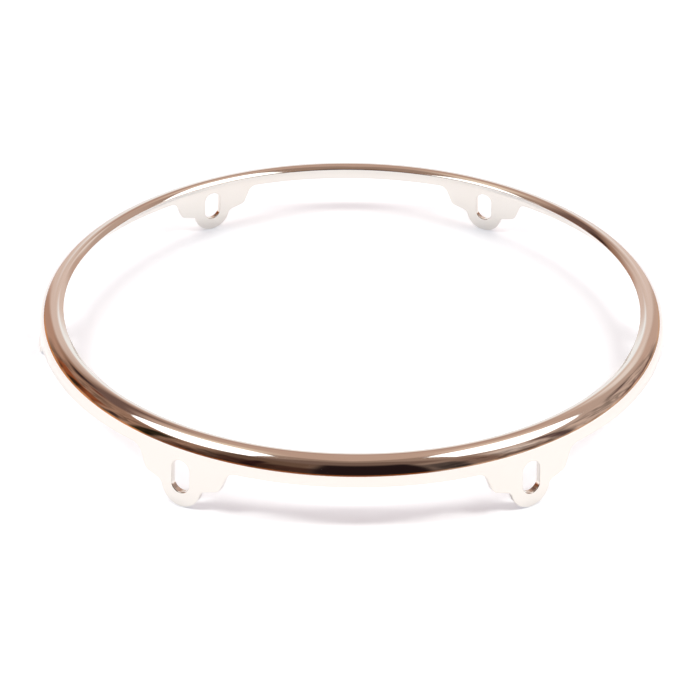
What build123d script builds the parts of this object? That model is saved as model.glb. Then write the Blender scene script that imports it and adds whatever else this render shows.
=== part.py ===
from build123d import *
from math import cos, degrees, hypot, radians, sin, tan
import os

# Tension hoop for a hand drum: a collar rolled from thick strip, with six slotted
# ears welded under it. Millimetres. The ring's axis is +Z, the ears' tips stand on
# z = 0, and the front is -Y, half way between two ears.

# Rim strip
SKIRT_OUTER_RADIUS = 159.0    # outside of the straight skirt
STRIP_THICKNESS = 3.2
RIM_HEIGHT = 35.9             # top of the collar above the ears' tips
SKIRT_EDGE_HEIGHT = 23.7      # free lower edge of the skirt
SKIRT_CORNER_RADIUS = 0.5     # broken corners of the free edge

# Collar: the strip turns inwards over a wide bend and a tighter crown, then falls
# straight to its sheared inner edge. Angles are degrees turned from the skirt.
BEND_OUTER_RADIUS = 9.1
BEND_ANGLE = 84.0
CROWN_OUTER_RADIUS = 4.4
CROWN_ANGLE = 121.5
COLLAR_LENGTH = 2.45          # straight, past the crown
COLLAR_EDGE_RADIUS = 0.55     # polished upper corner of the sheared edge
LIP_CORNER_RADIUS = 0.4       # broken corner under it

# Ears
EAR_COUNT = 6
EAR_FLARE = 5.0               # degrees, outwards from the skirt's line
EAR_EDGE_RADIUS = 0.5         # polished edges of each ear and its slot
TIP_RADIUS = 10.6
LEDGE_START = (7.0, 9.2)      # inner end of the shoulder's under edge, inside the tip
NECK = (10.6, 10.25)          # where that edge leaves the tip, before its fillet
SHOULDER = (19.9, 12.9)       # sharp corner of the shoulder
ROOT_HALF_WIDTH = 24.2        # at the skirt's free edge, before its fillets
NECK_FILLET = 3.5
SHOULDER_FILLET = 4.0
ROOT_FILLET = 5.0
SLOT_WIDTH = 9.4
SLOT_HEIGHT = 16.2
SLOT_CENTRE_HEIGHT = 15.5

# Welds, all ground flush with the faces beside them
SEAM_BOTTOM = 24.5            # the seam clears the slot's upper end
SEAM_HEIGHT = 1.5
CLOSING_WELD_WIDTH = 2.4      # along the circumference
CLOSING_WELD_ANGLE = 90.0     # at the back

# Derived sizes
SKIRT_INNER_RADIUS = SKIRT_OUTER_RADIUS - STRIP_THICKNESS
BEND_TO_CROWN = BEND_OUTER_RADIUS - CROWN_OUTER_RADIUS
BEND_CENTRE = (
    SKIRT_OUTER_RADIUS - BEND_OUTER_RADIUS,
    RIM_HEIGHT - CROWN_OUTER_RADIUS - BEND_TO_CROWN * sin(radians(BEND_ANGLE)),
)
CROWN_CENTRE = (
    BEND_CENTRE[0] + BEND_TO_CROWN * cos(radians(BEND_ANGLE)),
    RIM_HEIGHT - CROWN_OUTER_RADIUS,
)
FLARE_SLOPE = tan(radians(EAR_FLARE))
CLOSING_WELD_ARC = degrees(CLOSING_WELD_WIDTH / SKIRT_OUTER_RADIUS)

# The root fillet runs out on the skirt's edge at this distance from the ear's middle.
SIDE_RISE = SKIRT_EDGE_HEIGHT - SHOULDER[1]
SIDE_RUN = ROOT_HALF_WIDTH - SHOULDER[0]
SIDE_LENGTH = hypot(SIDE_RISE, SIDE_RUN)
ROOT_TANGENT = ROOT_FILLET * (SIDE_LENGTH - SIDE_RUN) / SIDE_RISE
ROOT_END = ROOT_HALF_WIDTH + ROOT_TANGENT
SEAM_ARC = 2 * degrees(ROOT_END / SKIRT_OUTER_RADIUS)

# Azimuth of each ear, counter-clockwise from +X
EARS = {
    "right": 0.0,
    "back_right": 60.0,
    "back_left": 120.0,
    "left": 180.0,
    "front_left": 240.0,
    "front_right": 300.0,
}


def section_plane(azimuth):
    """Upright half plane through the axis: local x is the radius, local y is +Z."""
    angle = radians(azimuth)
    return Plane(
        origin=(0, 0, 0),
        x_dir=(cos(angle), sin(angle), 0),
        z_dir=(sin(angle), -cos(angle), 0),
    )


def facing_plane(azimuth):
    """Upright plane through the axis that faces outwards: local y is +Z."""
    angle = radians(azimuth)
    return Plane(
        origin=(0, 0, 0),
        x_dir=(-sin(angle), cos(angle), 0),
        z_dir=(cos(angle), sin(angle), 0),
    )


def strip_section(plane):
    """The strip's section, of one thickness from the skirt's edge to the collar's."""
    crown_turn = CROWN_ANGLE - BEND_ANGLE
    with BuildSketch(plane) as section:
        with BuildLine():
            outer_skirt = Line(
                (SKIRT_OUTER_RADIUS, SKIRT_EDGE_HEIGHT),
                (SKIRT_OUTER_RADIUS, BEND_CENTRE[1]),
            )
            CenterArc(BEND_CENTRE, BEND_OUTER_RADIUS, 0, BEND_ANGLE)
            crown = CenterArc(CROWN_CENTRE, CROWN_OUTER_RADIUS, BEND_ANGLE, crown_turn)
            collar = PolarLine(crown @ 1, COLLAR_LENGTH, CROWN_ANGLE + 90)
            edge = PolarLine(collar @ 1, STRIP_THICKNESS, CROWN_ANGLE + 180)
            PolarLine(edge @ 1, COLLAR_LENGTH, CROWN_ANGLE - 90)
            CenterArc(
                CROWN_CENTRE,
                CROWN_OUTER_RADIUS - STRIP_THICKNESS,
                CROWN_ANGLE,
                -crown_turn,
            )
            inner_bend = CenterArc(
                BEND_CENTRE,
                BEND_OUTER_RADIUS - STRIP_THICKNESS,
                BEND_ANGLE,
                -BEND_ANGLE,
            )
            Polyline(
                inner_bend @ 1,
                (SKIRT_INNER_RADIUS, SKIRT_EDGE_HEIGHT),
                outer_skirt @ 0,
            )
        make_face()
        skirt_corners = section.vertices().group_by(Axis.Y)[0]
        fillet(skirt_corners, SKIRT_CORNER_RADIUS)
        for corner, radius in (
            (edge @ 0, COLLAR_EDGE_RADIUS),
            (edge @ 1, LIP_CORNER_RADIUS),
        ):
            fillet(section.vertices().sort_by_distance(corner)[0], radius)
    return section.sketch


def seam_section(plane):
    """The skirt's full thickness over the height of an ear seam."""
    with BuildSketch(plane) as section:
        with Locations((SKIRT_INNER_RADIUS, SEAM_BOTTOM)):
            Rectangle(STRIP_THICKNESS, SEAM_HEIGHT, align=Align.MIN)
    return section.sketch


def relief_section(plane):
    """What the rim gives up at an ear: from below its free edge to the seam's top."""
    with BuildSketch(plane) as section:
        with Locations((SKIRT_INNER_RADIUS - STRIP_THICKNESS, 0)):
            Rectangle(3 * STRIP_THICKNESS, SEAM_BOTTOM + SEAM_HEIGHT, align=Align.MIN)
    return section.sketch


def flared_section(plane):
    """The ear plate seen edge-on, in line with the skirt at its root."""
    foot_shift = SEAM_BOTTOM * FLARE_SLOPE
    with BuildSketch(plane) as section:
        with BuildLine():
            Polyline(
                (SKIRT_INNER_RADIUS, SEAM_BOTTOM),
                (SKIRT_OUTER_RADIUS, SEAM_BOTTOM),
                (SKIRT_OUTER_RADIUS + foot_shift, 0),
                (SKIRT_INNER_RADIUS + foot_shift, 0),
                close=True,
            )
        make_face()
    return section.sketch


def ear_outline(plane):
    """Face view of an ear: wide root, stepped shoulders, round tip, upright slot."""
    with BuildSketch(plane) as outline:
        with BuildLine():
            half = Polyline(
                (0, SEAM_BOTTOM),
                (ROOT_END, SEAM_BOTTOM),
                (ROOT_END, SKIRT_EDGE_HEIGHT),
                (ROOT_HALF_WIDTH, SKIRT_EDGE_HEIGHT),
                SHOULDER,
                LEDGE_START,
                (0, LEDGE_START[1]),
            )
            mirror(half, about=Plane.YZ)
        make_face()
        with Locations((0, TIP_RADIUS)):
            Circle(TIP_RADIUS)
        for side in (-1, 1):
            for corner, radius in (
                ((ROOT_HALF_WIDTH, SKIRT_EDGE_HEIGHT), ROOT_FILLET),
                (SHOULDER, SHOULDER_FILLET),
                (NECK, NECK_FILLET),
            ):
                vertex = (side * corner[0], corner[1])
                fillet(outline.vertices().sort_by_distance(vertex)[0], radius)
        with Locations((0, SLOT_CENTRE_HEIGHT)):
            SlotOverall(SLOT_HEIGHT, SLOT_WIDTH, rotation=90, mode=Mode.SUBTRACT)
    return outline.sketch


def export_piece(piece, name):
    piece.part.label = name
    export_step(piece.part, f"parts/{name}.step")


os.makedirs("parts", exist_ok=True)

# Rim: the formed strip, open by one weld's width at the back, and relieved at each ear
# so that the seam lies inside the skirt's height, clear of the slot.
rim_start = CLOSING_WELD_ANGLE + CLOSING_WELD_ARC / 2
with BuildPart() as formed_rim:
    revolve(
        strip_section(section_plane(rim_start)),
        axis=Axis.Z,
        revolution_arc=360 - CLOSING_WELD_ARC,
    )
    for azimuth in EARS.values():
        revolve(
            relief_section(section_plane(azimuth - SEAM_ARC / 2)),
            axis=Axis.Z,
            revolution_arc=SEAM_ARC,
            mode=Mode.SUBTRACT,
        )
export_piece(formed_rim, "formed_rim")

# Weld that closes the ring
weld_start = CLOSING_WELD_ANGLE - CLOSING_WELD_ARC / 2
with BuildPart() as closing_weld:
    revolve(
        strip_section(section_plane(weld_start)),
        axis=Axis.Z,
        revolution_arc=CLOSING_WELD_ARC,
    )
export_piece(closing_weld, "closing_weld")

# Ears, each with the seam that joins its root to the rim
for place, azimuth in EARS.items():
    seam_plane = section_plane(azimuth - SEAM_ARC / 2)

    with BuildPart() as ear:
        revolve(flared_section(seam_plane), axis=Axis.Z, revolution_arc=SEAM_ARC)
        extrude(
            ear_outline(facing_plane(azimuth)),
            amount=2 * SKIRT_OUTER_RADIUS,
            mode=Mode.INTERSECT,
        )
        broad_faces = ear.faces().filter_by(GeomType.CONE)
        free_edges = broad_faces.edges().filter_by(
            lambda edge: edge.center().Z < SKIRT_EDGE_HEIGHT
        )
        fillet(free_edges, EAR_EDGE_RADIUS)
    export_piece(ear, f"ear_{place}")

    with BuildPart() as ear_seam:
        revolve(seam_section(seam_plane), axis=Axis.Z, revolution_arc=SEAM_ARC)
    export_piece(ear_seam, f"ear_seam_{place}")
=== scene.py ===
"""Looks of the plated tension hoop, in metres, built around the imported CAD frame.

Every piece stands for one CAD node and is made again here as a fine mesh with exact
normals, because the plating is a mirror and shows any facet.
"""

import bpy
import numpy as np
from mathutils import Matrix, Vector


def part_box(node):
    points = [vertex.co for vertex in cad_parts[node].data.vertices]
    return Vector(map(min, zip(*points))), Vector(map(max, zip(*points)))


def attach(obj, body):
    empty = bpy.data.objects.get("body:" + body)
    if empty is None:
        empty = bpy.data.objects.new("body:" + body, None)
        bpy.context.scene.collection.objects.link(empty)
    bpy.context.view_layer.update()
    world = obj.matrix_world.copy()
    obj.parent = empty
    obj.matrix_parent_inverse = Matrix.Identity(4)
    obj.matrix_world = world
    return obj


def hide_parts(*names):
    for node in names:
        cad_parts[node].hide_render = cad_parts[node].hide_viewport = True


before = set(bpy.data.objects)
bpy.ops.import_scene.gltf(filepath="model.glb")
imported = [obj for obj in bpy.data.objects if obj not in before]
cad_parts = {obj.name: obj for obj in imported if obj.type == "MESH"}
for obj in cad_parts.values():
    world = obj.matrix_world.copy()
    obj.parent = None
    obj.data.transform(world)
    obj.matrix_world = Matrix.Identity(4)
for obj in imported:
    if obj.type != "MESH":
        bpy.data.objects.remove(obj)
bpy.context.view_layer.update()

MM = 0.001
BODY = "root"

# ---------------------------------------------------------------- sizes from the frame

rim_low, rim_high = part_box("formed_rim")
seam_low, seam_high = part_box("ear_seam_right")
_, weld_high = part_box("closing_weld")

SKIRT_OUTER = rim_high.x
RIM_TOP = rim_high.z
SKIRT_EDGE = rim_low.z
SEAM_BOTTOM = seam_low.z
SEAM_TOP = seam_high.z
SEAM_HALF_ANGLE = np.arcsin(seam_high.y / SKIRT_OUTER)
WELD_HALF_ANGLE = np.arcsin(weld_high.x / SKIRT_OUTER)
WELD_AZIMUTH = np.pi / 2

# The strip's and the ears' own sizes, as in the CAD model
STRIP = 3.2 * MM
SKIRT_CORNER = 0.5 * MM
BEND_OUTER = 9.1 * MM
BEND_TURN = 84.0
CROWN_OUTER = 4.4 * MM
CROWN_TURN = 121.5
COLLAR_LENGTH = 2.45 * MM
COLLAR_EDGE = 0.55 * MM
LIP_CORNER = 0.4 * MM
EAR_FLARE = np.radians(5.0)
EAR_EDGE = 0.5 * MM
TIP_RADIUS = 10.6 * MM
LEDGE_START = np.array((7.0, 9.2)) * MM
SHOULDER = np.array((19.9, 12.9)) * MM
ROOT = np.array((24.2 * MM, SKIRT_EDGE))
NECK_FILLET = 3.5 * MM
SHOULDER_FILLET = 4.0 * MM
ROOT_FILLET = 5.0 * MM
SLOT_HALF_WIDTH = 4.7 * MM
SLOT_HALF_HEIGHT = 8.1 * MM
SLOT_CENTRE = np.array((0.0, 15.5)) * MM

# What the visible surface adds: the collar's sloping part, straight in the CAD model,
# still turns a little, and each seam keeps a bead on the skirt's inner face.
COLLAR_EASE = 5.0  # degrees
BEAD_PROUD = 0.045 * MM
BEAD_RIPPLE = 0.018 * MM


def pointing(degrees):
    """Unit vector at an angle from the first axis of a plane."""
    return np.array((np.cos(np.radians(degrees)), np.sin(np.radians(degrees))))


SKIRT_INNER = SKIRT_OUTER - STRIP
BEND_TO_CROWN = (BEND_OUTER - CROWN_OUTER) * pointing(BEND_TURN)
CROWN_HEIGHT = RIM_TOP - CROWN_OUTER
BEND_CENTRE = np.array((SKIRT_OUTER - BEND_OUTER, CROWN_HEIGHT - BEND_TO_CROWN[1]))
CROWN_CENTRE = BEND_CENTRE + BEND_TO_CROWN
SEAM_HALF_WIDTH = SKIRT_OUTER * np.sin(SEAM_HALF_ANGLE)

EARS = {
    "right": 0.0,
    "back_right": 60.0,
    "back_left": 120.0,
    "left": 180.0,
    "front_left": 240.0,
    "front_right": 300.0,
}

# Mesh fineness
AZIMUTH_STEP = np.radians(0.6)
ARC_STEP = 0.35 * MM
EDGE_STEP = 0.12 * MM
WELD_STEPS = 8
SEAM_STEPS = 120
BEAD_STEPS = 10
ROOT_STEPS = 64
EAR_RINGS = 12
TONGUE_OVERLAP = 3  # points of an ear's outline
BEVEL_STEPS = 6
MERGE_CELL = 1e-6
MERGE_SHIFT = 0.37  # keeps round sizes away from the edges of the merging cells


# ---------------------------------------------------------------- curves in a plane
# A curve is a pair of arrays: points, and the outward unit normal at each point.

def line(start, end, normal, steps=1):
    t = np.linspace(0, 1, steps + 1)[:, None]
    points = np.asarray(start) * (1 - t) + np.asarray(end) * t
    return points, np.tile(np.asarray(normal, float), (steps + 1, 1))


def arc(centre, radius, start, end, side=1, step=ARC_STEP):
    """Arc between two angles in degrees. side is -1 where the solid is outside it."""
    steps = max(4, int(np.ceil(radius * np.radians(abs(end - start)) / step)))
    angles = np.radians(np.linspace(start, end, steps + 1))
    directions = np.stack((np.cos(angles), np.sin(angles)), 1)
    return np.asarray(centre) + radius * directions, side * directions


def join(*curves):
    return tuple(np.concatenate(parts) for parts in zip(*curves))


def left_normal(start, end):
    direction = np.asarray(end) - np.asarray(start)
    direction = direction / np.linalg.norm(direction)
    return np.array((-direction[1], direction[0]))


def corner_fillet(before, corner, after, radius):
    """Centre of the fillet at a corner of two lines, and its two tangent points."""
    towards_before = (before - corner) / np.linalg.norm(before - corner)
    towards_after = (after - corner) / np.linalg.norm(after - corner)
    half = np.arccos(np.dot(towards_before, towards_after)) / 2
    bisector = towards_before + towards_after
    bisector = bisector / np.linalg.norm(bisector)
    reach = radius / np.tan(half)
    centre = corner + bisector * radius / np.sin(half)
    return centre, corner + towards_before * reach, corner + towards_after * reach


def arc_through(centre, start, end, side=1, step=ARC_STEP):
    """The short arc round a centre from one point to another."""
    radius = np.linalg.norm(start - centre)
    first = np.degrees(np.arctan2(*(start - centre)[::-1]))
    last = np.degrees(np.arctan2(*(end - centre)[::-1]))
    last = first + (last - first + 180) % 360 - 180
    return arc(centre, radius, first, last, side, step)


# ---------------------------------------------------------------- closed shells

class Shell:
    """A closed surface made of patches. Each patch brings its own exact normals."""

    def __init__(self):
        self.points = []
        self.normals = []
        self.faces = []
        self.count = 0

    def _add(self, points, normals):
        first = self.count
        self.points.append(points)
        self.normals.append(normals)
        self.count += len(points)
        return first

    def grid(self, points, normals):
        """Rows by columns by xyz."""
        rows, columns = points.shape[:2]
        first = self._add(points.reshape(-1, 3), normals.reshape(-1, 3))
        index = first + np.arange(rows * columns).reshape(rows, columns)
        corners = (index[:-1, :-1], index[1:, :-1], index[1:, 1:], index[:-1, 1:])
        self.faces += np.stack([c.ravel() for c in corners], 1).tolist()

    def cap(self, points, normal):
        """One flat face."""
        first = self._add(points, np.tile(normal, (len(points), 1)))
        self.faces.append(list(range(first, first + len(points))))

    def mesh(self, name):
        points = np.concatenate(self.points)
        normals = np.concatenate(self.normals)
        cells = np.round(points / MERGE_CELL + MERGE_SHIFT).astype(np.int64)
        _, kept, place = np.unique(cells, axis=0, return_index=True, return_inverse=True)
        place = place.ravel()
        faces, corner_normals = [], []
        for face in self.faces:
            corners = [
                c for i, c in enumerate(face) if place[c] != place[face[i - 1]]
            ]
            if len(corners) < 3:
                continue
            ring = points[corners]
            facing = np.cross(ring, np.roll(ring, -1, 0)).sum(0)
            if facing @ normals[corners].sum(0) < 0:
                corners.reverse()
            faces.append([int(place[c]) for c in corners])
            corner_normals += normals[corners].tolist()
        mesh = bpy.data.meshes.new(name)
        mesh.from_pydata(points[kept].tolist(), [], faces)
        mesh.shade_smooth()
        mesh.normals_split_custom_set(corner_normals)
        mesh.update()
        return mesh


def swept(curve, azimuths):
    """A curve of (radius, height) points turned about +Z."""
    points, normals = curve
    turn = np.stack((np.cos(azimuths), np.sin(azimuths)), 1)

    def turned(values):
        flat = values[None, :, 0, None] * turn[:, None, :]
        height = np.broadcast_to(values[None, :, 1, None], flat.shape[:2] + (1,))
        return np.concatenate((flat, height), 2)

    return turned(points), turned(normals)


def side_cap(shell, outline, azimuth, sign):
    """Closes a swept shell at one azimuth. sign is +1 where it faces onwards."""
    points, _ = swept((outline, outline), np.array([azimuth]))
    normal = sign * np.array((-np.sin(azimuth), np.cos(azimuth), 0.0))
    shell.cap(points[0], normal)


# ---------------------------------------------------------------- the strip's section

def upper_section():
    """From the seam's height outside, over the collar to its sheared edge, and back."""
    # up leads out of the collar's sloping part, inwards along it to the sheared edge
    up = pointing(CROWN_TURN)
    inwards = pointing(CROWN_TURN + 90)
    start = CROWN_CENTRE + CROWN_OUTER * up
    edge = start + COLLAR_LENGTH * inwards
    lip = edge - STRIP * up
    eased = CROWN_TURN + COLLAR_EASE
    length = COLLAR_LENGTH - COLLAR_EDGE * (1 - np.sin(np.radians(COLLAR_EASE)))
    ease = length / np.sin(np.radians(COLLAR_EASE))
    edge_centre = start - ease * up + (ease - COLLAR_EDGE) * pointing(eased)
    lip_centre = lip + LIP_CORNER * (up - inwards)
    back = CROWN_CENTRE + (CROWN_OUTER - STRIP) * up
    return join(
        line((SKIRT_OUTER, SEAM_TOP), (SKIRT_OUTER, BEND_CENTRE[1]), (1, 0)),
        arc(BEND_CENTRE, BEND_OUTER, 0, BEND_TURN),
        arc(CROWN_CENTRE, CROWN_OUTER, BEND_TURN, CROWN_TURN),
        arc(start - ease * up, ease, CROWN_TURN, eased),
        arc(edge_centre, COLLAR_EDGE, eased, CROWN_TURN + 90, step=EDGE_STEP),
        line(edge_centre + COLLAR_EDGE * inwards, lip + LIP_CORNER * up, inwards),
        arc(lip_centre, LIP_CORNER, CROWN_TURN + 90, CROWN_TURN + 180, step=EDGE_STEP),
        line(lip - LIP_CORNER * inwards, back, -up),
        arc(CROWN_CENTRE, CROWN_OUTER - STRIP, CROWN_TURN, BEND_TURN, side=-1),
        arc(BEND_CENTRE, BEND_OUTER - STRIP, BEND_TURN, 0, side=-1),
        line((SKIRT_INNER, BEND_CENTRE[1]), (SKIRT_INNER, SEAM_TOP), (-1, 0)),
    )


def lower_section():
    """From the seam's height inside, round the skirt's free edge, and back outside."""
    corner_height = SKIRT_EDGE + SKIRT_CORNER
    inner = np.array((SKIRT_INNER + SKIRT_CORNER, corner_height))
    outer = np.array((SKIRT_OUTER - SKIRT_CORNER, corner_height))
    return join(
        line((SKIRT_INNER, SEAM_TOP), (SKIRT_INNER, corner_height), (-1, 0)),
        arc(inner, SKIRT_CORNER, 180, 270),
        line((inner[0], SKIRT_EDGE), (outer[0], SKIRT_EDGE), (0, -1)),
        arc(outer, SKIRT_CORNER, 270, 360),
        line((SKIRT_OUTER, corner_height), (SKIRT_OUTER, SEAM_TOP), (1, 0)),
    )


def azimuth_run(start, end):
    steps = max(2, int(np.ceil((end - start) / AZIMUTH_STEP)))
    return np.linspace(start, end, steps + 1)


def rim_shell():
    """The C-shaped ring: whole section between the ears, relieved at each ear's seam."""
    start = WELD_AZIMUTH + WELD_HALF_ANGLE
    end = WELD_AZIMUTH + 2 * np.pi - WELD_HALF_ANGLE
    ears = sorted((np.radians(a) - start) % (2 * np.pi) + start for a in EARS.values())
    shell = Shell()
    upper, lower = upper_section(), lower_section()
    relief = line((SKIRT_INNER, SEAM_TOP), (SKIRT_OUTER, SEAM_TOP), (0, -1))

    def run(section, first, last):
        azimuths = azimuth_run(first, last)
        shell.grid(*swept(upper, azimuths))
        shell.grid(*swept(section, azimuths))

    position = start
    for ear in ears:
        first, last = ear - SEAM_HALF_ANGLE, ear + SEAM_HALF_ANGLE
        run(lower, position, first)
        run(relief, first, last)
        side_cap(shell, lower[0], first, 1)
        side_cap(shell, lower[0], last, -1)
        position = last
    run(lower, position, end)
    whole = np.concatenate((upper[0], lower[0]))
    side_cap(shell, whole, start, -1)
    side_cap(shell, whole, end, 1)
    return shell


def closing_weld_shell():
    shell = Shell()
    first, last = WELD_AZIMUTH - WELD_HALF_ANGLE, WELD_AZIMUTH + WELD_HALF_ANGLE
    azimuths = np.linspace(first, last, WELD_STEPS + 1)
    upper, lower = upper_section(), lower_section()
    shell.grid(*swept(upper, azimuths))
    shell.grid(*swept(lower, azimuths))
    whole = np.concatenate((upper[0], lower[0]))
    side_cap(shell, whole, first, -1)
    side_cap(shell, whole, last, 1)
    return shell


# ---------------------------------------------------------------- ears and their seams

def seam_shell(azimuth):
    """Flush outside. Inside, the ground bead still stands a hair proud and uneven."""
    first, last = azimuth - SEAM_HALF_ANGLE, azimuth + SEAM_HALF_ANGLE
    azimuths = np.linspace(first, last, SEAM_STEPS + 1)
    shell = Shell()
    inner_bottom, outer_bottom = (SKIRT_INNER, SEAM_BOTTOM), (SKIRT_OUTER, SEAM_BOTTOM)
    inner_top, outer_top = (SKIRT_INNER, SEAM_TOP), (SKIRT_OUTER, SEAM_TOP)
    shell.grid(*swept(line(inner_bottom, outer_bottom, (0, -1)), azimuths))
    shell.grid(*swept(line(outer_bottom, outer_top, (1, 0)), azimuths))
    shell.grid(*swept(line(outer_top, inner_top, (0, 1)), azimuths))

    across = np.linspace(0, 1, BEAD_STEPS + 1)
    heights = SEAM_TOP + (SEAM_BOTTOM - SEAM_TOP) * across
    inner_edge = np.stack((np.full(len(across), SKIRT_INNER), heights), 1)
    end_outline = np.concatenate(((outer_bottom, outer_top), inner_edge))
    side_cap(shell, end_outline, first, -1)
    side_cap(shell, end_outline, last, 1)

    # The bead rises between its two edges and fades out at its two ends
    along = np.linspace(-1, 1, len(azimuths))
    crown = np.sin(np.pi * across)[None, :] ** 2
    fade = (1 - along ** 8)[:, None]
    wave = np.sin(31 * along + 3 * np.sin(7 * along) + azimuth)[:, None]
    height = (BEAD_PROUD + BEAD_RIPPLE * wave) * crown * fade
    radius = SKIRT_INNER - height
    z = np.broadcast_to(heights, radius.shape)
    inner = np.stack(
        (radius * np.cos(azimuths)[:, None], radius * np.sin(azimuths)[:, None], z), 2
    )
    du, dv = np.gradient(inner, axis=0), np.gradient(inner, axis=1)
    normals = np.cross(dv, du)
    normals /= np.linalg.norm(normals, axis=2)[..., None]
    inwards = -np.stack((np.cos(azimuths), np.sin(azimuths), 0 * azimuths), 1)
    normals *= np.sign((normals * inwards[:, None]).sum(2))[..., None]
    shell.grid(inner, normals)
    return shell


def free_edge():
    """Right half of an ear's free outline, from the tip's lowest point to the root."""
    tip = np.array((0.0, TIP_RADIUS))
    ledge = (SHOULDER - LEDGE_START) / np.linalg.norm(SHOULDER - LEDGE_START)
    below = np.array((ledge[1], -ledge[0]))
    # The neck's fillet touches the ledge from below and the tip's circle from outside.
    base = LEDGE_START + below * NECK_FILLET - tip
    along = base @ ledge
    reach = TIP_RADIUS + NECK_FILLET
    travel = -along + np.sqrt(along ** 2 - base @ base + reach ** 2)
    neck = tip + base + ledge * travel
    on_tip = tip + (neck - tip) * TIP_RADIUS / reach
    on_ledge = neck - below * NECK_FILLET

    end = np.array((SEAM_HALF_WIDTH, SKIRT_EDGE))
    shoulder, ledge_end, side_start = corner_fillet(
        LEDGE_START, SHOULDER, ROOT, SHOULDER_FILLET
    )
    root, side_end, root_end = corner_fillet(SHOULDER, ROOT, end, ROOT_FILLET)
    side_normal = -left_normal(side_start, side_end)
    curve = join(
        arc_through(tip, np.array((0.0, 0.0)), on_tip),
        arc_through(neck, on_tip, on_ledge, side=-1),
        line(on_ledge, ledge_end, below, 8),
        arc_through(shoulder, ledge_end, side_start),
        line(side_start, side_end, side_normal, 12),
        arc_through(root, side_end, root_end, side=-1),
    )
    # The root's fillet runs out just past the seam's end, where the outline is cut off
    inside = curve[0][:, 0] < SEAM_HALF_WIDTH
    points = np.concatenate((curve[0][inside], end[None]))
    normals = np.concatenate((curve[1][inside], curve[1][~inside][:1]))
    return points, normals


def slot_at(directions):
    """Points and outward normals of the slot's edge in given directions from its centre."""
    straight = SLOT_HALF_HEIGHT - SLOT_HALF_WIDTH
    s, z = np.abs(directions[:, 0]), directions[:, 1]
    to_side = SLOT_HALF_WIDTH / np.maximum(s, 1e-12)
    on_side = np.abs(z) * to_side <= straight
    # Distance along the ray to the end circle, centred on (0, +-straight)
    centre = np.sign(z) * straight
    along = z * centre
    to_end = along + np.sqrt(along ** 2 - centre ** 2 + SLOT_HALF_WIDTH ** 2)
    distance = np.where(on_side, to_side, to_end)
    edge = directions * distance[:, None]
    middle = np.stack((np.zeros(len(z)), np.clip(edge[:, 1], -straight, straight)), 1)
    normals = (edge - middle) / SLOT_HALF_WIDTH
    return SLOT_CENTRE + edge, normals


class EarFrame:
    """Places (sideways, height, depth) points on the flared plate of one ear."""

    def __init__(self, azimuth):
        self.out = np.array((np.cos(azimuth), np.sin(azimuth), 0.0))
        self.side = np.array((-np.sin(azimuth), np.cos(azimuth), 0.0))
        self.up = np.array((0.0, 0.0, 1.0))

    def place(self, plane, depth):
        radius = SKIRT_OUTER + (SEAM_BOTTOM - plane[:, 1]) * np.tan(EAR_FLARE) - depth
        out = np.sqrt(radius ** 2 - plane[:, 0] ** 2)
        return (
            out[:, None] * self.out
            + plane[:, :1] * self.side
            + plane[:, 1:] * self.up
        )

    def broad_normal(self, plane, sign):
        """Normal of the broad face: sign +1 outside, -1 inside."""
        radius = SKIRT_OUTER + (SEAM_BOTTOM - plane[:, 1]) * np.tan(EAR_FLARE)
        turn = np.arcsin(plane[:, 0] / radius)[:, None]
        level = np.cos(turn) * self.out + np.sin(turn) * self.side
        return sign * (np.cos(EAR_FLARE) * level + np.sin(EAR_FLARE) * self.up)

    def edge_normal(self, normals):
        return normals[:, :1] * self.side + normals[:, 1:] * self.up


def rounded_wall(shell, place, edge, normals):
    """An edge's wall and its two rounded corners, from the outer to the inner face."""
    bend = np.linspace(0, np.pi / 2, BEVEL_STEPS + 1)
    wall_normal = place.edge_normal(normals)
    rows, row_normals = [], []
    for face, angles in ((1, bend), (-1, bend[::-1])):
        for angle in angles:
            inset = EAR_EDGE * (1 - np.sin(angle))
            depth = EAR_EDGE * (1 - np.cos(angle))
            plane = edge - normals * inset
            rows.append(place.place(plane, depth if face == 1 else STRIP - depth))
            broad = place.broad_normal(plane, face)
            row_normals.append(np.cos(angle) * broad + np.sin(angle) * wall_normal)
    shell.grid(np.stack(rows), np.stack(row_normals))
    return rows


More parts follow.
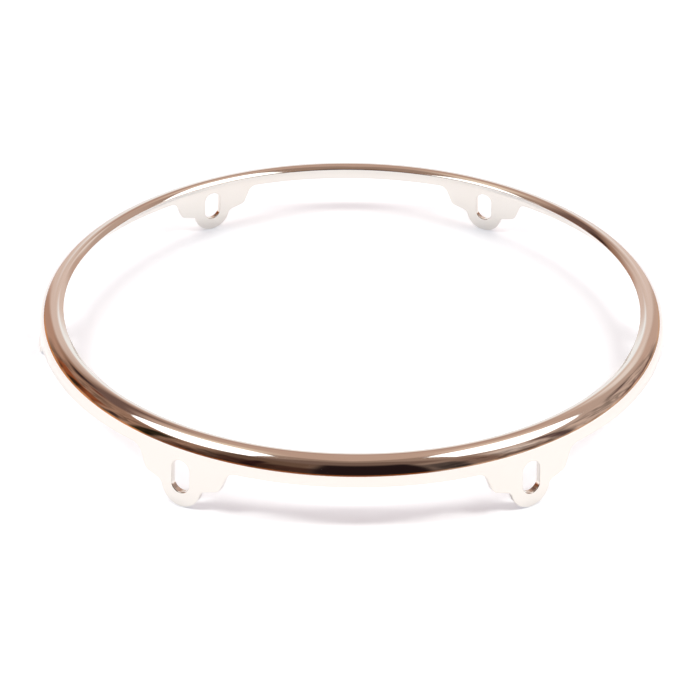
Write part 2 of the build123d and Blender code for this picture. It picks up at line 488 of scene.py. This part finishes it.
def ear_shell(azimuth):
    place = EarFrame(azimuth)
    shell = Shell()
    half, half_normals = free_edge()
    mirror = np.array((-1.0, 1.0))
    edge = np.concatenate((half[::-1] * mirror, half[1:]))
    normals = np.concatenate((half_normals[::-1] * mirror, half_normals[1:]))
    rows = rounded_wall(shell, place, edge, normals)

    # Near the root the outline leaves the slot's sight, so each broad face is a fan round
    # the slot that stops at two chords, with a tongue beyond each chord.
    inset = edge - normals * EAR_EDGE
    sight = np.arctan2(inset[:, 1] - SLOT_CENTRE[1], inset[:, 0])
    middle = len(half) - 1
    chord = middle + int(np.argmax(sight[middle:])) - TONGUE_OVERLAP
    tongue = inset[chord:]
    tongue_top = np.stack((tongue[:, 0], np.full(len(tongue), SEAM_BOTTOM)), 1)
    tongue_top[-1, 0] = SEAM_HALF_WIDTH
    middle_top = np.linspace(tongue_top[0], tongue_top[0] * mirror, ROOT_STEPS + 1)
    fan_edge = inset[len(inset) - 1 - chord:chord + 1]

    # The joint: two short landings and the root's top edge, all left sharp
    root = np.concatenate((tongue_top[:0:-1], middle_top, tongue_top[1:] * mirror))
    outer_root, inner_root = place.place(root, 0.0), place.place(root, STRIP)
    up = np.broadcast_to(place.up, (2, len(root), 3))
    shell.grid(np.stack((outer_root, inner_root)), up)
    for column, corner, sign in ((-1, 0, 1), (0, -1, -1)):
        landing = [row[column] for row in rows]
        landing += [inner_root[corner], outer_root[corner]]
        shell.cap(np.array(landing), sign * place.side)

    border = np.concatenate((fan_edge, middle_top, fan_edge[:1]))
    directions = border - SLOT_CENTRE
    directions /= np.linalg.norm(directions, axis=1)[:, None]
    slot, slot_normals = slot_at(directions)
    hole = slot + slot_normals * EAR_EDGE
    fan = [hole + (border - hole) * t for t in np.linspace(0, 1, EAR_RINGS + 1)]
    tongues = [[tongue * side, tongue_top * side] for side in (np.ones(2), mirror)]
    for face, depth in ((1, 0.0), (-1, STRIP)):
        for rings in (fan, *tongues):
            shell.grid(
                np.stack([place.place(ring, depth) for ring in rings]),
                np.stack([place.broad_normal(ring, face) for ring in rings]),
            )
    rounded_wall(shell, place, slot, -slot_normals)
    return shell


# ---------------------------------------------------------------- plated metal

def shader_tools(tree):
    """Short helpers for adding and linking nodes."""
    def node(kind, **settings):
        made = tree.nodes.new(kind)
        for key, value in settings.items():
            setattr(made, key, value)
        return made

    def link(source, target):
        tree.links.new(source, target)

    return node, link


COLOUR_DRIFT = (0.985, 0.96, 0.94)  # the plating's other shade, as shares of the first
WAVINESS = 0.06 * MM


def plated_metal(name, base, haze, grain):
    """Mirror-polished plating. haze is its roughness, grain the depth of the work below."""
    material = bpy.data.materials.new(name)
    material.use_nodes = True
    tree = material.node_tree
    node, link = shader_tools(tree)
    shader = tree.nodes["Principled BSDF"]
    shader.inputs["Metallic"].default_value = 1.0
    place = node("ShaderNodeTexCoord").outputs["Object"]

    def noise(scale, detail):
        made = node("ShaderNodeTexNoise")
        made.inputs["Scale"].default_value = scale
        made.inputs["Detail"].default_value = detail
        link(place, made.inputs["Vector"])
        return made.outputs["Fac"]

    def bump(height, distance):
        made = node("ShaderNodeBump")
        made.inputs["Strength"].default_value = 1.0
        made.inputs["Distance"].default_value = distance
        link(height, made.inputs["Height"])
        return made

    # Slight drift in the plating's colour
    drifted = [channel * share for channel, share in zip(base, COLOUR_DRIFT)]
    tint = node("ShaderNodeMix", data_type="RGBA")
    tint.inputs["A"].default_value = (*base, 1.0)
    tint.inputs["B"].default_value = (*drifted, 1.0)
    link(noise(scale=18.0, detail=2.0), tint.inputs["Factor"])
    link(tint.outputs["Result"], shader.inputs["Base Color"])

    # Polishing haze in soft patches
    rough = node("ShaderNodeMapRange")
    rough.inputs["From Min"].default_value = 0.3
    rough.inputs["From Max"].default_value = 0.75
    rough.inputs["To Min"].default_value = haze * 0.7
    rough.inputs["To Max"].default_value = haze * 1.5
    link(noise(scale=55.0, detail=5.0), rough.inputs["Value"])
    link(rough.outputs["Result"], shader.inputs["Roughness"])

    # The rolled strip's gentle waviness, and fine grain left by the work
    waviness = bump(noise(scale=30.0, detail=1.0), WAVINESS)
    finish = bump(noise(scale=900.0, detail=3.0), grain)
    link(waviness.outputs["Normal"], finish.inputs["Normal"])
    link(finish.outputs["Normal"], shader.inputs["Normal"])
    return material


PALE_GOLD = (0.765, 0.74, 0.705)
rim_plating = plated_metal("rim_plating", PALE_GOLD, haze=0.055, grain=0.0)
ear_plating = plated_metal("ear_plating", PALE_GOLD, haze=0.075, grain=0.0004 * MM)
weld_plating = plated_metal("weld_plating", PALE_GOLD, haze=0.12, grain=0.004 * MM)


def add_piece(name, shell, node, material):
    piece = bpy.data.objects.new(name, shell.mesh(name))
    bpy.context.scene.collection.objects.link(piece)
    piece.data.materials.append(material)
    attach(piece, BODY)
    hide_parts(node)


add_piece("polished_rim", rim_shell(), "formed_rim", rim_plating)
add_piece(
    "polished_closing_weld", closing_weld_shell(),
    "closing_weld", weld_plating,
)
for place_name, degrees in EARS.items():
    azimuth = np.radians(degrees)
    add_piece(
        f"polished_ear_{place_name}", ear_shell(azimuth),
        f"ear_{place_name}", ear_plating,
    )
    add_piece(
        f"polished_seam_{place_name}", seam_shell(azimuth),
        f"ear_seam_{place_name}", weld_plating,
    )


# ---------------------------------------------------------------- floor and studio

FLOOR_HALF = 12.0  # metres
FLOOR_WHITE = (0.86, 0.855, 0.89)
FLOOR_GLOW = (0.76, 0.84, 0.95)
GLOW_STRENGTH = (0.35, 0.85)  # under the hoop, and away from it
GLOW_REACH = (0.2, 1.3)       # metres from the hoop's axis


def make_floor():
    mesh = bpy.data.meshes.new("floor")
    signs = ((-1, -1), (1, -1), (1, 1), (-1, 1))
    corners = [(x * FLOOR_HALF, y * FLOOR_HALF, 0.0) for x, y in signs]
    mesh.from_pydata(corners, [], [(0, 1, 2, 3)])
    floor = bpy.data.objects.new("floor", mesh)
    bpy.context.scene.collection.objects.link(floor)
    material = bpy.data.materials.new("white_board")
    material.use_nodes = True
    tree = material.node_tree
    node, link = shader_tools(tree)
    shader = tree.nodes["Principled BSDF"]
    shader.inputs["Base Color"].default_value = (*FLOOR_WHITE, 1.0)
    shader.inputs["Roughness"].default_value = 0.75
    shader.inputs["Specular IOR Level"].default_value = 0.2
    # The board glows, and more away from the strips' light, so that it stays even
    length = node("ShaderNodeVectorMath", operation="LENGTH")
    link(node("ShaderNodeTexCoord").outputs["Object"], length.inputs[0])
    glow = node("ShaderNodeMapRange", interpolation_type="SMOOTHSTEP")
    for socket, value in zip(("From Min", "From Max"), GLOW_REACH):
        glow.inputs[socket].default_value = value
    for socket, value in zip(("To Min", "To Max"), GLOW_STRENGTH):
        glow.inputs[socket].default_value = value
    link(length.outputs["Value"], glow.inputs["Value"])
    link(glow.outputs["Result"], shader.inputs["Emission Strength"])
    shader.inputs["Emission Color"].default_value = (*FLOOR_GLOW, 1.0)
    mesh.materials.append(material)


# What surrounds the table, as patches of soft light. Azimuth is in degrees from the
# camera's side, positive to the right, and elevation is above the table. Each patch is
# (azimuth from, to, edge, elevation from, to, edge, colour).
ROOM = (0.39, 0.26, 0.2)
PATCHES = (
    # ceiling towards the back, and the dimmer one over the camera
    (-235, -125, 14, 34, 95, 8, (0.62, 0.42, 0.33)),
    (125, 235, 14, 34, 95, 8, (0.63, 0.43, 0.34)),
    (-50, 46, 8, 54, 82, 6, (0.21, 0.13, 0.10)),
    # the top of the wall behind the hoop, in the ceiling's shade
    (-235, -160, 6, 37, 47, 3, (0.50, 0.32, 0.25)),
    (162, 235, 6, 37, 47, 3, (0.50, 0.32, 0.25)),
    # beige wall behind the hoop, and the white sheet in front of it
    (-400, -144, 8, 0, 36, 5, (0.82, 0.63, 0.55)),
    (148, 400, 8, 0, 36, 5, (0.86, 0.67, 0.59)),
    (-400, -166, 6, -90, 25, 4, (1.1, 1.1, 1.1)),
    (165, 400, 6, -90, 25, 4, (1.1, 1.1, 1.1)),
    # beige wall on the right
    (50, 146, 6, -2, 50, 5, (0.6, 0.43, 0.35)),
    (53, 68, 4, 22, 44, 5, (0.81, 0.64, 0.56)),
    (50, 70, 4, 2, 18, 4, (0.24, 0.15, 0.12)),
    (72, 79, 2, 0, 42, 3, (0.17, 0.10, 0.09)),
    (128, 150, 5, 4, 32, 4, (0.66, 0.45, 0.36)),
    (144, 162, 4, 32, 42, 4, (0.97, 0.83, 0.75)),
    (114, 126, 3, 31, 36, 3, (0.17, 0.10, 0.09)),
    (102, 127, 4, 7, 13, 3, (0.25, 0.13, 0.11)),
    # browner wall on the left, with shelves and stands
    (-148, -55, 6, -2, 48, 5, (0.39, 0.22, 0.15)),
    (-152, -130, 5, 4, 28, 4, (0.55, 0.32, 0.23)),
    (-125, -96, 3, 8, 24, 3, (0.29, 0.08, 0.03)),
    (-114, -107, 2, 7, 20, 3, (0.04, 0.02, 0.01)),
    (-92, -86, 2, 7, 20, 3, (0.09, 0.05, 0.04)),
    (-140, -130, 3, 33, 44, 3, (0.04, 0.02, 0.02)),
    (-126, -118, 2, 38, 42, 2, (0.2, 0.04, 0.02)),
    (-162, -112, 6, 41, 52, 4, (0.19, 0.11, 0.09)),
    (-80, -70, 2, 2, 40, 4, (0.03, 0.02, 0.01)),
    (-67, -48, 4, 2, 24, 5, (0.13, 0.06, 0.04)),
    # dark room behind the camera
    (-56, -14, 6, 24, 60, 6, (0.16, 0.09, 0.06)),
    (-50, -12, 5, -2, 36, 6, (0.07, 0.03, 0.02)),
    (-38, -33, 1.5, 10, 44, 4, (0.03, 0.01, 0.01)),
    (-15, 27, 3, 2, 62, 6, (0.02, 0.01, 0.01)),
    (27, 41, 3, 2, 46, 6, (0.1, 0.07, 0.06)),
    (41, 52, 4, 2, 52, 5, (0.27, 0.16, 0.12)),
    # low warm light just over the table's far edge
    (-140, -70, 8, -4, 6, 2.5, (0.85, 0.36, 0.13)),
    (-66, 28, 8, -4, 7, 3, (0.4, 0.13, 0.04)),
    (28, 146, 8, -4, 6, 2.5, (0.74, 0.46, 0.3)),
)

# What stands along the side walls breaks their light up into darker and lighter bits.
CLUTTER_PLACE = (24, 132, 8, 3, 38, 5)  # either side: azimuth and elevation, as above
CLUTTER_GRAIN = (9.0, 9.0, 4.0)         # finer sideways than upwards
CLUTTER_LIGHT = (0.5, 1.2)              # in its darkest and lightest bits
CLUTTER_RANGE = (0.38, 0.62)            # of the noise, between those two

# Two rounded softboxes hang level over the table. Their sizes are given on a plane one
# unit above a place on the hoop's front, and grow with the height they really hang at.
# Each is (side, centre sideways, centre away, half width, half depth, cut corner).
SOFTBOXES = (
    (-1, 0.67, -0.03, 0.42, 0.37, 0.175),
    (1, 0.65, 0.05, 0.42, 0.38, 0.205),
)
SOFTBOX_HEIGHT = 2.2
SOFTBOX_FROM = Vector((0.02, -0.13, 0.035))
SOFTBOX_POWER = 2.4  # of the rounded outline
SOFTBOX_CORNERS = 96
SOFTBOX_CUT = np.array((0.826, 0.565))  # sideways and away, across the cut corner
SOFTBOX_LIGHT = 2.0
# Warm spill on the ceiling behind each box, placed on the level plane one unit up:
# (side, from, to, front, back, edge, colour)
SPILL_LOWEST = (0.3, 0.1)  # sine of the elevation where the spills fade out, and the edge
SPILLS = (
    (-1, 0.20, 0.50, 0.10, 0.44, 0.08, (0.95, 0.75, 0.60)),
    (1, 0.20, 0.50, 0.30, 0.58, 0.08, (0.88, 0.66, 0.54)),
)

# A strip light on each side, lower than the softboxes, throws the sharper part of the
# shadows. The plating doesn't show it.
STRIP_PLACE = Vector((0.58, -0.32, 0.93))
STRIP_SIZE = (0.55, 0.20)
STRIP_WATTS = 5.8
STRIP_COLOUR = (0.96, 1.0, 0.93)


def make_world():
    world = bpy.data.worlds.new("studio")
    bpy.context.scene.world = world
    world.use_nodes = True
    tree = world.node_tree
    tree.nodes.clear()
    node, link = shader_tools(tree)

    def maths(operation, first, second=None):
        made = node("ShaderNodeMath", operation=operation)
        for socket, value in zip(made.inputs, (first, second)):
            if value is None:
                continue
            if isinstance(value, (int, float)):
                socket.default_value = value
            else:
                link(value, socket)
        return made.outputs["Value"]

    direction = node("ShaderNodeTexCoord").outputs["Generated"]
    split = node("ShaderNodeSeparateXYZ")
    link(direction, split.inputs["Vector"])
    x, y, z = (split.outputs[axis] for axis in "XYZ")
    degrees = 180 / np.pi
    azimuth = maths("MULTIPLY", maths("ARCTAN2", x, maths("MULTIPLY", y, -1.0)), degrees)
    elevation = maths("MULTIPLY", maths("ARCSINE", z), degrees)

    def rise(value, at, edge):
        made = node("ShaderNodeMapRange", interpolation_type="SMOOTHSTEP")
        made.inputs["From Min"].default_value = at - edge
        made.inputs["From Max"].default_value = at + edge
        link(value, made.inputs["Value"])
        return made.outputs["Result"]

    def inside(value, low, high, edge):
        above = rise(value, low, edge)
        return maths("MULTIPLY", above, maths("SUBTRACT", 1.0, rise(value, high, edge)))

    def patch(u, u_low, u_high, u_edge, v, v_low, v_high, v_edge):
        across = inside(u, u_low, u_high, u_edge)
        return maths("MULTIPLY", across, inside(v, v_low, v_high, v_edge))

    layers = []
    for a_low, a_high, a_edge, e_low, e_high, e_edge, light in PATCHES:
        mask = patch(azimuth, a_low, a_high, a_edge, elevation, e_low, e_high, e_edge)
        layers.append((mask, light))

    # Places on the level plane one unit up, for the spills
    overhead = rise(z, *SPILL_LOWEST)
    height = maths("MAXIMUM", z, 0.05)
    sideways = maths("DIVIDE", x, height)
    away = maths("DIVIDE", y, height)
    for side, low, high, front, back, edge, light in SPILLS:
        reach = maths("MULTIPLY", sideways, side)
        mask = patch(reach, low, high, edge, away, front, back, edge)
        layers.append((maths("MULTIPLY", mask, overhead), light))

    colour = None
    for mask, light in layers:
        mix = node("ShaderNodeMix", data_type="RGBA")
        link(mask, mix.inputs["Factor"])
        if colour is None:
            mix.inputs["A"].default_value = (*ROOM, 1.0)
        else:
            link(colour, mix.inputs["A"])
        mix.inputs["B"].default_value = (*light, 1.0)
        colour = mix.outputs["Result"]

    # The clutter dims and brightens the side walls' light
    grain = node("ShaderNodeVectorMath", operation="MULTIPLY")
    link(direction, grain.inputs[0])
    grain.inputs[1].default_value = CLUTTER_GRAIN
    bits = node("ShaderNodeTexNoise")
    bits.inputs["Scale"].default_value = 1.0
    bits.inputs["Detail"].default_value = 4.0
    bits.inputs["Distortion"].default_value = 1.2
    link(grain.outputs["Vector"], bits.inputs["Vector"])
    clutter = node("ShaderNodeMapRange")
    for socket, value in zip(("From Min", "From Max"), CLUTTER_RANGE):
        clutter.inputs[socket].default_value = value
    for socket, value in zip(("To Min", "To Max"), CLUTTER_LIGHT):
        clutter.inputs[socket].default_value = value
    link(bits.outputs["Fac"], clutter.inputs["Value"])
    where = patch(
        maths("ABSOLUTE", azimuth), *CLUTTER_PLACE[:3], elevation, *CLUTTER_PLACE[3:]
    )
    change = maths("SUBTRACT", clutter.outputs["Result"], 1.0)
    strength = maths("ADD", maths("MULTIPLY", change, where), 1.0)

    studio = node("ShaderNodeBackground")
    link(colour, studio.inputs["Color"])
    link(strength, studio.inputs["Strength"])
    plain = node("ShaderNodeBackground")
    plain.inputs["Color"].default_value = (1.0, 1.0, 1.0, 1.0)
    choose = node("ShaderNodeMixShader")
    link(node("ShaderNodeLightPath").outputs["Is Camera Ray"], choose.inputs["Fac"])
    link(studio.outputs["Background"], choose.inputs[1])
    link(plain.outputs["Background"], choose.inputs[2])
    link(choose.outputs["Shader"], node("ShaderNodeOutputWorld").inputs["Surface"])
    world.cycles.sampling_method = "MANUAL"
    world.cycles.sample_map_resolution = 1024


def make_softboxes():
    material = bpy.data.materials.new("softbox_light")
    material.use_nodes = True
    tree = material.node_tree
    tree.nodes.clear()
    node, link = shader_tools(tree)
    light = node("ShaderNodeEmission")
    light.inputs["Strength"].default_value = SOFTBOX_LIGHT
    link(light.outputs["Emission"], node("ShaderNodeOutputMaterial").inputs["Surface"])

    turn = np.linspace(0, 2 * np.pi, SOFTBOX_CORNERS, endpoint=False)
    circle = np.stack((np.cos(turn), np.sin(turn)), 1)
    rounded = np.sign(circle) * np.abs(circle) ** (2 / SOFTBOX_POWER)
    for side, u_centre, v_centre, u_half, v_half, cut in SOFTBOXES:
        outline = np.array((u_centre, v_centre)) + rounded * np.array((u_half, v_half))
        beyond = np.maximum(cut - outline @ SOFTBOX_CUT, 0.0)
        outline = outline + beyond[:, None] * SOFTBOX_CUT
        corners = []
        for u, v in outline:
            corner = SOFTBOX_FROM + SOFTBOX_HEIGHT * Vector((u, v, 1.0))
            corners.append((side * corner.x, corner.y, corner.z))
        mesh = bpy.data.meshes.new("softbox")
        mesh.from_pydata(corners, [], [tuple(range(len(corners)))])
        mesh.materials.append(material)
        card = bpy.data.objects.new("softbox", mesh)
        bpy.context.scene.collection.objects.link(card)
        card.visible_camera = False
        card.visible_shadow = False


def make_strips():
    for side in (-1, 1):
        lamp = bpy.data.lights.new("strip", "AREA")
        lamp.shape = "RECTANGLE"
        lamp.size, lamp.size_y = STRIP_SIZE
        lamp.energy = STRIP_WATTS
        lamp.color = STRIP_COLOUR
        holder = bpy.data.objects.new("strip", lamp)
        bpy.context.scene.collection.objects.link(holder)
        holder.location = (side * STRIP_PLACE.x, STRIP_PLACE.y, STRIP_PLACE.z)
        holder.visible_camera = False
        holder.visible_glossy = False


CAMERA_PLACE = Vector((-0.0180, -0.8450, 0.5052))
CAMERA_TURN = (1.172, 30.872, 0.754)  # degrees of heading, dip and roll
CAMERA_LENS = 97.21
CAMERA_CLIP = (0.05, 60.0)


def make_camera():
    """The product camera: above and in front, a little left of the middle."""
    heading, dip, roll = np.radians(CAMERA_TURN)
    forward = Vector((
        np.sin(heading) * np.cos(dip), np.cos(heading) * np.cos(dip), -np.sin(dip)
    ))
    level = Vector((np.cos(heading), -np.sin(heading), 0.0))
    upright = level.cross(forward)
    right = np.cos(roll) * level + np.sin(roll) * upright
    up = np.cos(roll) * upright - np.sin(roll) * level
    camera = bpy.data.objects.new("camera", bpy.data.cameras.new("camera"))
    bpy.context.scene.collection.objects.link(camera)
    camera.data.sensor_width = 36.0
    camera.data.lens = CAMERA_LENS
    camera.data.clip_start, camera.data.clip_end = CAMERA_CLIP
    turn = Matrix((right, up, -forward)).transposed().to_4x4()
    camera.matrix_world = Matrix.Translation(CAMERA_PLACE) @ turn
    bpy.context.scene.camera = camera


make_floor()
make_world()
make_softboxes()
make_strips()
make_camera()
bpy.context.scene.view_settings.view_transform = "Standard"
